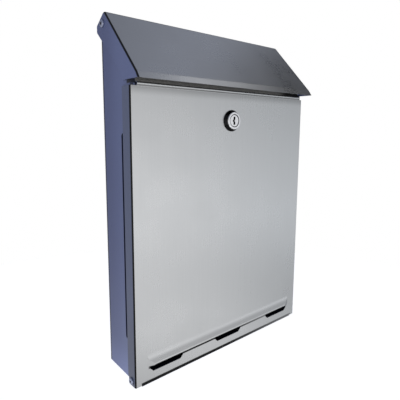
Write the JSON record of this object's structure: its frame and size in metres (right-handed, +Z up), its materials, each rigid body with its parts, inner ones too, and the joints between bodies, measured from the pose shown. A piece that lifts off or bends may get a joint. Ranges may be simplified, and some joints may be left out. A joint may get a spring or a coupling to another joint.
{
  "type": "wall mounted mailbox",
  "caption": "Wall mounted sheet steel mailbox with a sloping riveted lid, a bottom hinged front door with a cam lock, and a louvre with sight notches.",
  "frame": {"origin": "middle of the four wall screws, on the wall that the spacers bear on", "axes": "+X to the viewer's right, +Y into the wall, +Z up; the door faces -Y"},
  "size_m": [0.2838, 0.0876, 0.4053],
  "materials": {
    "slate_steel": "satin slate blue",
    "brushed_door": "brushed upright",
    "brushed_lid": "brushed lengthways",
    "lock_chrome": "polished",
    "rosette_black": "black chrome",
    "lock_face": "nickel plated",
    "zinc_steel": "zinc plated",
    "rivet_aluminium": "satin",
    "washer_nylon": "matt",
    "black_rubber": "matt"
  },
  "bodies": {
    "box": {"body_shell": "slate_steel", "bottom_pan": "slate_steel", "lock_rail": "zinc_steel", "wall_spacer_lower_left": "black_rubber", "wall_spacer_lower_right": "black_rubber", "wall_spacer_upper_left": "black_rubber", "wall_spacer_upper_right": "black_rubber", "lid_rivet_left": "rivet_aluminium", "lid_rivet_right": "rivet_aluminium", "lid_washer_left": "washer_nylon", "lid_washer_right": "washer_nylon", "door_rivet_left": "rivet_aluminium", "door_rivet_right": "rivet_aluminium", "door_washer_left": "washer_nylon", "door_washer_right": "washer_nylon", "lid_buffer_left": "black_rubber", "lid_buffer_right": "black_rubber"},
    "lid": {"lid_cover": "brushed_lid"},
    "door": {"door_panel": "brushed_door", "lock_rosette": "rosette_black", "lock_barrel": "lock_chrome", "lock_tooth_washer": "zinc_steel", "lock_nut": "zinc_steel"},
    "lock": {"lock_plug": "lock_face", "lock_cam": "zinc_steel", "cam_washer": "zinc_steel", "cam_screw": "zinc_steel"}
  },
  "joints": [
    {"name": "lid_hinge", "type": "hinge", "parent": "box", "child": "lid", "pos_m": [0, -0.016, 0.19377], "axis": [-1, 0, 0], "range_deg": [0, 50]},
    {"name": "door_hinge", "type": "hinge", "parent": "box", "child": "door", "pos_m": [0, -0.0626, -0.193], "axis": [1, 0, 0], "range_deg": [0, 100]},
    {"name": "lock_turn", "type": "hinge", "parent": "door", "child": "lock", "pos_m": [0, -0.0706, 0.094], "axis": [0, -1, 0], "range_deg": [0, 90]}
  ]
}
